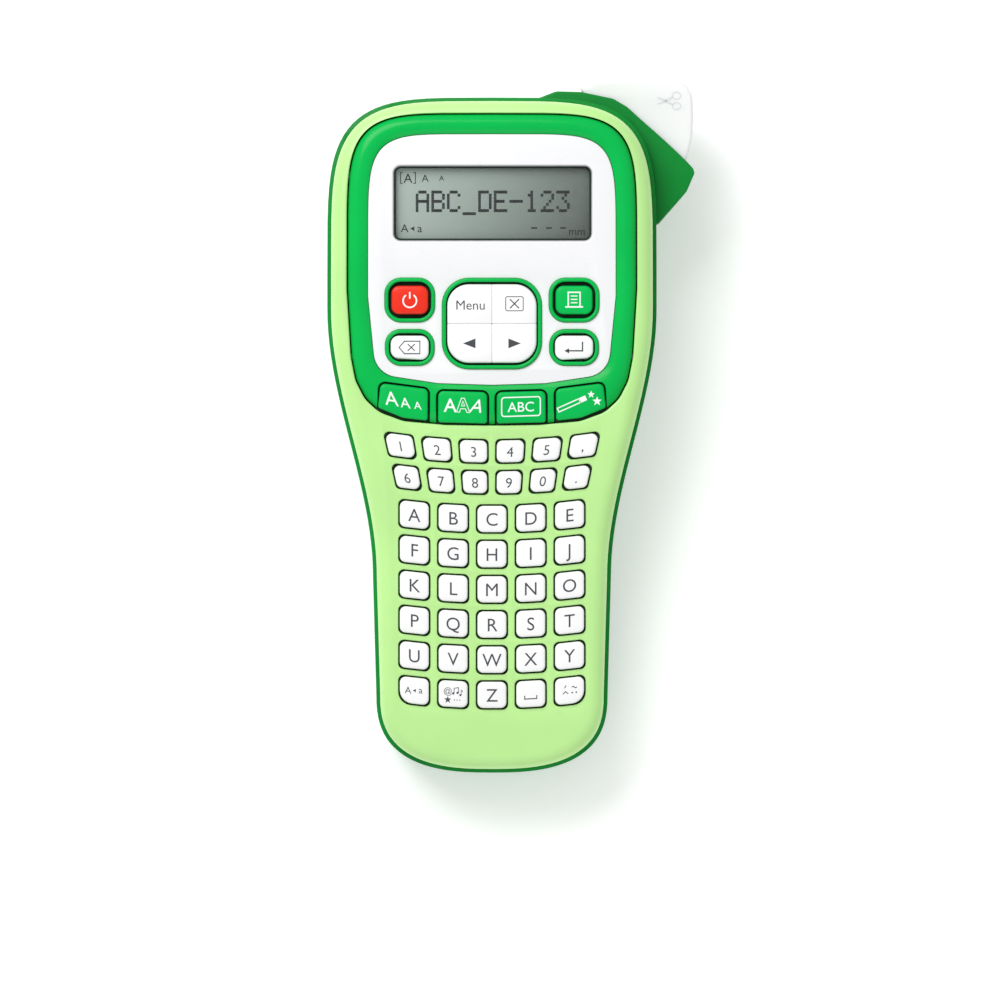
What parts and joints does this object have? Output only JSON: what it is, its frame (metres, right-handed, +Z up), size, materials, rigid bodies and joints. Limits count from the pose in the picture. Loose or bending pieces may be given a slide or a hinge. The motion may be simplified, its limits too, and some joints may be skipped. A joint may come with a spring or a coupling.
{
  "type": "label maker",
  "caption": "Hand-held label maker lying on its back, with a display, rubber-backed keys, a tape exit and a spring-loaded cutter lever.",
  "frame": {"origin": "on the surface it rests on, under the middle of its bounding box", "axes": "+Z up, +Y towards the head with the display, +X to the right as the face is read"},
  "size_m": [0.1096, 0.2086, 0.057],
  "materials": {
    "rear_green": "satin",
    "lime": "satin",
    "ring_green": "satin",
    "panel_white": "satin",
    "clear_window": "satin",
    "lcd_grey": "satin",
    "silicone": "satin",
    "board_green": "satin",
    "black_plastic": "satin",
    "steel": "satin",
    "red_key": "satin",
    "green_key": "satin",
    "white_key": "satin",
    "motor_steel": "satin",
    "brass": "satin",
    "gear_white": "satin",
    "roller_rubber": "satin",
    "head_ceramic": "satin",
    "heat_sink": "satin",
    "cassette_plastic": "satin",
    "tape_white": "satin",
    "lever_white": "satin",
    "cell_wrap": "satin",
    "spring_steel": "satin"
  },
  "bodies": {
    "housing": {"rear_case": "rear_green", "front_case": "lime", "display_frame": "ring_green", "face_panel": "panel_white", "display_window": "clear_window", "lcd_module": "lcd_grey", "key_mat": "silicone", "circuit_board": "board_green", "chassis_plate": "black_plastic", "case_screws": "steel", "dc_socket": "black_plastic", "feed_motor": "motor_steel", "gear_axles": "steel", "print_head": "head_ceramic", "head_heat_sink": "heat_sink", "tape_guide_post": "steel", "tape_cassette": "cassette_plastic", "tape_strip": "tape_white", "blade_anvil": "steel", "lever_pivot_pin": "steel", "lever_spring": "steel", "batteries": "cell_wrap", "battery_contacts": "spring_steel"},
    "cutter": {"cutter_lever": "lever_white", "cutter_blade": "steel"},
    "rear_cover": {"back_cover": "rear_green"},
    "pinion": {"motor_pinion": "brass"},
    "reduction": {"reduction_gear": "gear_white"},
    "platen": {"platen_gear": "gear_white", "platen_shaft": "steel", "platen_roller": "roller_rubber"},
    "ribbon_drive": {"ribbon_gear": "gear_white", "ribbon_spindle": "gear_white", "ribbon_spool": "black_plastic"},
    "tape_supply": {"tape_roll": "tape_white"},
    "power_key_body": {"power_key": "red_key"},
    "print_key_body": {"print_key": "green_key"},
    "backspace_key_body": {"backspace_key": "white_key"},
    "enter_key_body": {"enter_key": "white_key"},
    "menu_key_body": {"menu_key": "white_key"},
    "cancel_key_body": {"cancel_key": "white_key"},
    "cursor_left_key_body": {"cursor_left_key": "white_key"},
    "cursor_right_key_body": {"cursor_right_key": "white_key"},
    "text_size_key_body": {"text_size_key": "green_key"},
    "text_style_key_body": {"text_style_key": "green_key"},
    "frame_key_body": {"frame_key": "green_key"},
    "decoration_key_body": {"decoration_key": "green_key"},
    "number_keys_upper_body": {"number_keys_upper": "white_key"},
    "number_keys_lower_body": {"number_keys_lower": "white_key"},
    "letter_keys_a_to_e_body": {"letter_keys_a_to_e": "white_key"},
    "letter_keys_f_to_j_body": {"letter_keys_f_to_j": "white_key"},
    "letter_keys_k_to_o_body": {"letter_keys_k_to_o": "white_key"},
    "letter_keys_p_to_t_body": {"letter_keys_p_to_t": "white_key"},
    "letter_keys_u_to_y_body": {"letter_keys_u_to_y": "white_key"},
    "letter_keys_bottom_body": {"letter_keys_bottom": "white_key"}
  },
  "joints": [
    {"name": "cutter_lever_press", "type": "hinge", "parent": "housing", "child": "cutter", "pos_m": [0.02629, 0.09249, 0.02565], "axis": [0, 0.1305, -0.9914], "range_deg": [0, 10], "stiffness_Nm_per_rad": 0.08},
    {"name": "back_cover_lift", "type": "slide", "parent": "housing", "child": "rear_cover", "axis": [0, 0.1305, -0.9914], "range_m": [0, 0.045]},
    {"name": "power_key_press", "type": "slide", "parent": "housing", "child": "power_key_body", "axis": [0, 0.1305, -0.9914], "range_m": [0, 0.001], "stiffness_N_per_m": 200},
    {"name": "print_key_press", "type": "slide", "parent": "housing", "child": "print_key_body", "axis": [0, 0.1305, -0.9914], "range_m": [0, 0.001], "stiffness_N_per_m": 200},
    {"name": "backspace_key_press", "type": "slide", "parent": "housing", "child": "backspace_key_body", "axis": [0, 0.1305, -0.9914], "range_m": [0, 0.001], "stiffness_N_per_m": 200},
    {"name": "enter_key_press", "type": "slide", "parent": "housing", "child": "enter_key_body", "axis": [0, 0.1305, -0.9914], "range_m": [0, 0.001], "stiffness_N_per_m": 200},
    {"name": "menu_key_press", "type": "slide", "parent": "housing", "child": "menu_key_body", "axis": [0, 0.1305, -0.9914], "range_m": [0, 0.001], "stiffness_N_per_m": 200},
    {"name": "cancel_key_press", "type": "slide", "parent": "housing", "child": "cancel_key_body", "axis": [0, 0.1305, -0.9914], "range_m": [0, 0.001], "stiffness_N_per_m": 200},
    {"name": "cursor_left_key_press", "type": "slide", "parent": "housing", "child": "cursor_left_key_body", "axis": [0, 0.1305, -0.9914], "range_m": [0, 0.001], "stiffness_N_per_m": 200},
    {"name": "cursor_right_key_press", "type": "slide", "parent": "housing", "child": "cursor_right_key_body", "axis": [0, 0.1305, -0.9914], "range_m": [0, 0.001], "stiffness_N_per_m": 200},
    {"name": "text_size_key_press", "type": "slide", "parent": "housing", "child": "text_size_key_body", "axis": [0, 0.1305, -0.9914], "range_m": [0, 0.001], "stiffness_N_per_m": 200},
    {"name": "text_style_key_press", "type": "slide", "parent": "housing", "child": "text_style_key_body", "axis": [0, 0.1305, -0.9914], "range_m": [0, 0.001], "stiffness_N_per_m": 200},
    {"name": "frame_key_press", "type": "slide", "parent": "housing", "child": "frame_key_body", "axis": [0, 0.1305, -0.9914], "range_m": [0, 0.001], "stiffness_N_per_m": 200},
    {"name": "decoration_key_press", "type": "slide", "parent": "housing", "child": "decoration_key_body", "axis": [0, 0.1305, -0.9914], "range_m": [0, 0.001], "stiffness_N_per_m": 200},
    {"name": "number_keys_upper_press", "type": "slide", "parent": "housing", "child": "number_keys_upper_body", "axis": [0, 0.1305, -0.9914], "range_m": [0, 0.001], "stiffness_N_per_m": 200},
    {"name": "number_keys_lower_press", "type": "slide", "parent": "housing", "child": "number_keys_lower_body", "axis": [0, 0.1305, -0.9914], "range_m": [0, 0.001], "stiffness_N_per_m": 200},
    {"name": "letter_keys_a_to_e_press", "type": "slide", "parent": "housing", "child": "letter_keys_a_to_e_body", "axis": [0, 0.1305, -0.9914], "range_m": [0, 0.001], "stiffness_N_per_m": 200},
    {"name": "letter_keys_f_to_j_press", "type": "slide", "parent": "housing", "child": "letter_keys_f_to_j_body", "axis": [0, 0.1305, -0.9914], "range_m": [0, 0.001], "stiffness_N_per_m": 200},
    {"name": "letter_keys_k_to_o_press", "type": "slide", "parent": "housing", "child": "letter_keys_k_to_o_body", "axis": [0, 0.1305, -0.9914], "range_m": [0, 0.001], "stiffness_N_per_m": 200},
    {"name": "letter_keys_p_to_t_press", "type": "slide", "parent": "housing", "child": "letter_keys_p_to_t_body", "axis": [0, 0.1305, -0.9914], "range_m": [0, 0.001], "stiffness_N_per_m": 200},
    {"name": "letter_keys_u_to_y_press", "type": "slide", "parent": "housing", "child": "letter_keys_u_to_y_body", "axis": [0, 0.1305, -0.9914], "range_m": [0, 0.001], "stiffness_N_per_m": 200},
    {"name": "letter_keys_bottom_press", "type": "slide", "parent": "housing", "child": "letter_keys_bottom_body", "axis": [0, 0.1305, -0.9914], "range_m": [0, 0.001], "stiffness_N_per_m": 200},
    {"name": "gear_reduction_spin", "type": "hinge", "parent": "housing", "child": "reduction", "pos_m": [0.01253, 0.05291, 0.03556], "axis": [0, -0.1305, 0.9914], "continuous": true},
    {"name": "gear_pinion_spin", "type": "hinge", "parent": "housing", "child": "pinion", "pos_m": [0.0351, 0.04347, 0.03432], "axis": [0, -0.1305, 0.9914], "continuous": true},
    {"name": "platen_spin", "type": "hinge", "parent": "housing", "child": "platen", "pos_m": [0.02741, 0.07787, 0.02775], "axis": [0, -0.1305, 0.9914], "continuous": true},
    {"name": "ribbon_spin", "type": "hinge", "parent": "housing", "child": "ribbon_drive", "pos_m": [-0.01668, 0.06157, 0.02561], "axis": [0, -0.1305, 0.9914], "continuous": true},
    {"name": "tape_roll_spin", "type": "hinge", "parent": "housing", "child": "tape_supply", "pos_m": [0.0023, 0.05385, 0.02056], "axis": [0, -0.1305, 0.9914], "continuous": true}
  ],
  "couplings": [
    {"joint": "gear_pinion_spin", "follows": "gear_reduction_spin", "ratio": -4},
    {"joint": "platen_spin", "follows": "gear_reduction_spin", "ratio": -2.3333},
    {"joint": "ribbon_spin", "follows": "gear_reduction_spin", "ratio": -1.8667},
    {"joint": "tape_roll_spin", "follows": "gear_reduction_spin", "ratio": 0.80769}
  ]
}
